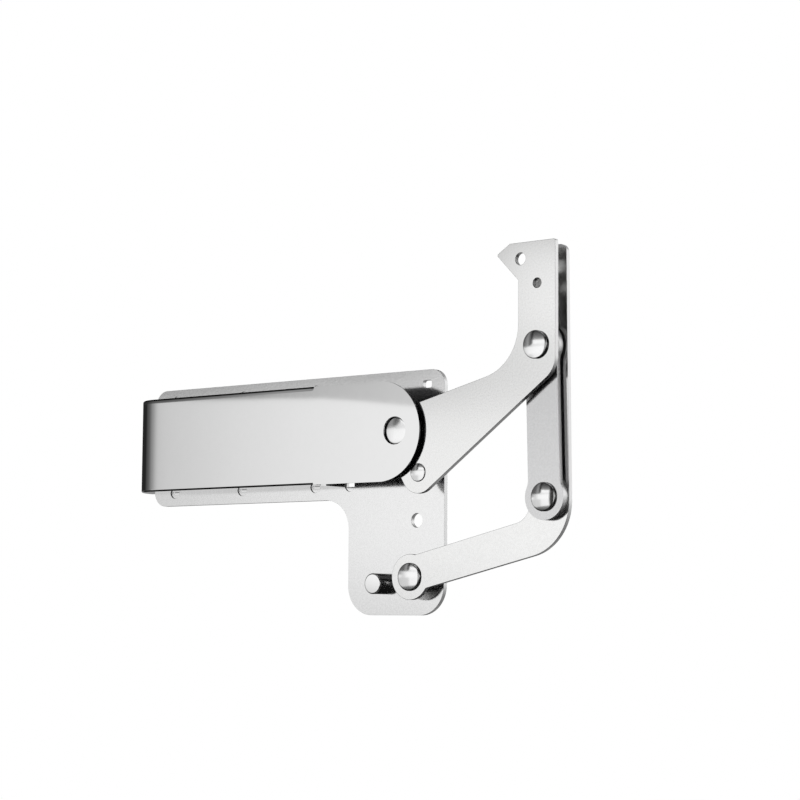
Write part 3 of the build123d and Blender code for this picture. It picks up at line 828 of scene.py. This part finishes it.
def up_the_part(stops):
    """Brightness by level: -1 is straight down, 0 is the horizon, 1 is straight up."""
    ramp = [((height + 1.0) / 2.0, shade) for height, shade in stops]
    return cloth.value("ShaderNodeValToRGB", {"stops": ramp}, {0: level * 0.5 + 0.5})


print("tent of", tent_radius, "m")

# %% [markdown]
# From below to above, the bands are: the dim floor far below, the lit ground, a low band that the
# plate mirrors, the horizon that the cover's face and its rolled end mirror, a grey card that
# makes the dark wedge in the cover's upper part, and a high band over it.

# %% Brightness round the part
cards_and_window = [
    (-109.5, 0.04), (-101, 0.04), (-97, 0.95), (-66, 0.95), (-62, 0.04), (-38, 0.04),
]
bright_right = [(10, 1.0), (100, 1.0), (115, 0.8), (124, 0.50)]
bright_right_above = [(10, 1.0), (100, 1.0), (115, 0.9), (124, 0.80), (137, 0.03), (180, 0.03)]
deep_band = round_the_part([
    (-180, 0.04), (-90, 0.05), (10, 0.10), (55, 0.15), (80, 0.16), (98, 0.30), (123, 0.10), (180, 0.04),
])
ground_band = round_the_part([
    (-180, 0.05), (-155, 0.20), (-147, 0.35), (-144.5, 0.60), (-128, 0.67), (-124, 0.90),
    (-111.5, 0.95), *cards_and_window,
    (10, 0.40), (40, 0.45), (80, 0.45), (100, 0.42), (128, 0.5), (150, 0.1), (180, 0.05),
])
low_band = round_the_part([
    (-180, 0.045), (-157, 0.16), (-147, 0.35), (-144.5, 0.90), (-136, 0.68), (-133, 0.79),
    (-130, 0.95), (-124, 0.98), (-111.5, 1.0), *cards_and_window,
    *bright_right, (137, 0.03), (180, 0.04),
])
horizon_band = round_the_part([
    (-180, 0.04), (-160, 0.13), (-145, 0.30), (-137, 0.65), (-136, 0.66), (-133, 0.83),
    (-130, 0.92), (-128, 0.95), (-124, 0.97), (-111.5, 1.0), *cards_and_window,
    *bright_right, (131, 0.18), (137, 0.03), (150, 0.02),
])
card_band = round_the_part([
    (-180, 0.03), (-150, 0.12), (-136, 0.28), (-133.5, 0.27), (-131.5, 0.52), (-125, 0.77),
    (-111.5, 0.9), *cards_and_window, *bright_right_above,
])
high_band = round_the_part([
    (-180, 0.03), (-150, 0.08), (-136, 0.12), (-131.5, 0.34), (-129.5, 0.10), (-126, 0.12),
    (-125.2, 1.0), (-111.5, 1.0), *cards_and_window, *bright_right_above,
])
print("bands ready")

# %% [markdown]
# A band holds up to a level, and then the next one takes over. The grey card's lower edge isn't
# level: it rises a little to the right and drops at its end. Its upper edge is lower and sharper to
# the left of heading -128, which suits the plate's strip above the cover. A last card stands
# behind, where the rear arm's face sees the tent by way of the front arm's back.

# %% Stack the bands by level
ground_from, low_from, horizon_from = (-0.34, -0.20), (-0.03, 0.02), (0.040, 0.052)
card_blur = 0.001
card_low, card_lift = 0.10, 0.01
top_at_right, top_at_left = 0.132, 0.113
blur_at_right, blur_at_left = 0.016, 0.007
rear_card_from, rear_card_shade = (0.168, 0.178), 0.85


def between(mask, first, second):
    """The first brightness where a mask is 0, the second where it is 1, and a mix between."""
    return first * (1.0 - mask) + second * mask


def taking_over(levels, below, above):
    """One brightness below two levels of the tent, another above them, and a smooth change."""
    return between(level.rise(*levels), below, above)


card_edge = card_low + card_lift * round_the_part([
    (-136, 0.24), (-131.5, 0.46), (-130.5, 0.46), (-128.5, 0.20), (-127.5, 0.0),
])
left_part = round_the_part([(-180, 1.0), (-128.4, 1.0), (-127, 0.0)])
card_top = top_at_right - (top_at_right - top_at_left) * left_part
card_top_end = card_top + (blur_at_right - (blur_at_right - blur_at_left) * left_part)
brightness = taking_over(ground_from, deep_band, ground_band)
brightness = taking_over(low_from, brightness, low_band)
brightness = taking_over(horizon_from, brightness, horizon_band)
brightness = taking_over((card_edge - card_blur, card_edge + card_blur), brightness, card_band)
brightness = taking_over((card_top, card_top_end), brightness, high_band)
rear_card = round_the_part([(112, 0.0), (118, 1.0), (132, 1.0), (140, 0.0)])
in_its_shade = brightness * (1.0 - rear_card_shade * rear_card)
brightness = taking_over(rear_card_from, brightness, in_its_shade)
print("bands stacked")

# %% [markdown]
# Three screens then dim the stack by level: the dark ring below the bright zenith starts lower in
# front than at the left and behind. The last mix is the tent's glow.

# %% Screen the tent and light it
below_all = [(-0.25, 0.11), (-0.168, 0.28), (-0.158, 1.0)]
front_screen = up_the_part([
    *below_all, (0.19, 1.0), (0.205, 0.30), (0.25, 0.155), (0.31, 0.06), (0.38, 0.04), (0.70, 0.04),
    (0.85, 0.6),
])
left_screen = up_the_part([
    *below_all, (0.20, 1.0), (0.32, 0.7), (0.50, 0.1), (0.70, 0.1), (0.85, 2.0),
])
rear_screen = up_the_part([(0.45, 1.0), (0.60, 0.05), (0.70, 0.05), (0.85, 0.6)])
at_the_left = round_the_part([(-180, 1.0), (-129.5, 1.0), (-127.5, 0.0)])
behind = round_the_part([(-15, 0.0), (5, 1.0), (125, 1.0), (138, 0.0)])
screen = between(behind, between(at_the_left, front_screen, left_screen), rear_screen)
glow = cloth.node("ShaderNodeEmission", None, {"Color": brightness * screen, "Strength": 1.0})
cloth.node("ShaderNodeOutputMaterial", None, {"Surface": glow.outputs[0]})
cloth.material.cycles.emission_sampling = "NONE"
tent_mesh.materials.append(cloth.material)
print("tent material:", len(cloth.tree.nodes), "nodes")

# %% [markdown]
# ## Lamps
# Two soft lamps light what isn't metal: paint, plastic and the floor. They could be seen in the
# metal too, as bright squares, but the tent already gives it all that it mirrors.

# %% Hang two soft lamps
lamp_size = 1.6
lamp_aim = Vector((0.0, 0.0, -0.05))


def soft_lamp(name, place, power):
    lamp = bpy.data.lights.new(name, "AREA")
    lamp.shape = "SQUARE"
    lamp.size = lamp_size
    lamp.energy = power
    holder = add_object(name, lamp)
    aimed = (lamp_aim - Vector(place)).to_track_quat("-Z", "Y").to_matrix().to_4x4()
    holder.matrix_world = Matrix.Translation(place) @ aimed
    holder.visible_glossy = False


soft_lamp("key_lamp", place=(1.0, -1.6, 1.7), power=42.0)
soft_lamp("fill_lamp", place=(-1.7, -1.2, 1.2), power=22.0)
print("lamps ready")

# %% [markdown]
# ## The camera
# The photograph's camera was found by fitting the plate's outline: it stands to the right of the
# part and a little below it, and looks up by under six degrees. The fit gives the turn, the tilt,
# the roll and a focal length in pixels of an 800 pixel wide picture.

# %% Place the camera
camera_turn, camera_tilt, camera_roll = radians(38.41), radians(-5.823), radians(0.415)
camera_place = Vector((0.64217, -0.82554, -0.09046))
focal_pixels, frame_pixels, sensor = 2167.0, 800.0, 36.0
backward = Vector((
    sin(camera_turn) * cos(camera_tilt), -cos(camera_turn) * cos(camera_tilt), sin(camera_tilt),
))
sideways = (-backward).cross(Vector((0.0, 0.0, 1.0))).normalized()
upward = sideways.cross(-backward)
right = sideways * cos(camera_roll) + upward * sin(camera_roll)
up = upward * cos(camera_roll) - sideways * sin(camera_roll)
view = bpy.data.cameras.new("photo_camera")
view.sensor_width = sensor
view.lens = sensor * focal_pixels / frame_pixels
view.clip_start = 0.01
view.clip_end = 50.0
camera = add_object("photo_camera", view)
camera.matrix_world = Matrix((
    (right.x, up.x, backward.x, camera_place.x),
    (right.y, up.y, backward.y, camera_place.y),
    (right.z, up.z, backward.z, camera_place.z),
    (0.0, 0.0, 0.0, 1.0),
))
bpy.context.scene.camera = camera
bpy.context.scene.view_settings.view_transform = "Standard"
print("lens", round(view.lens, 2), "mm")
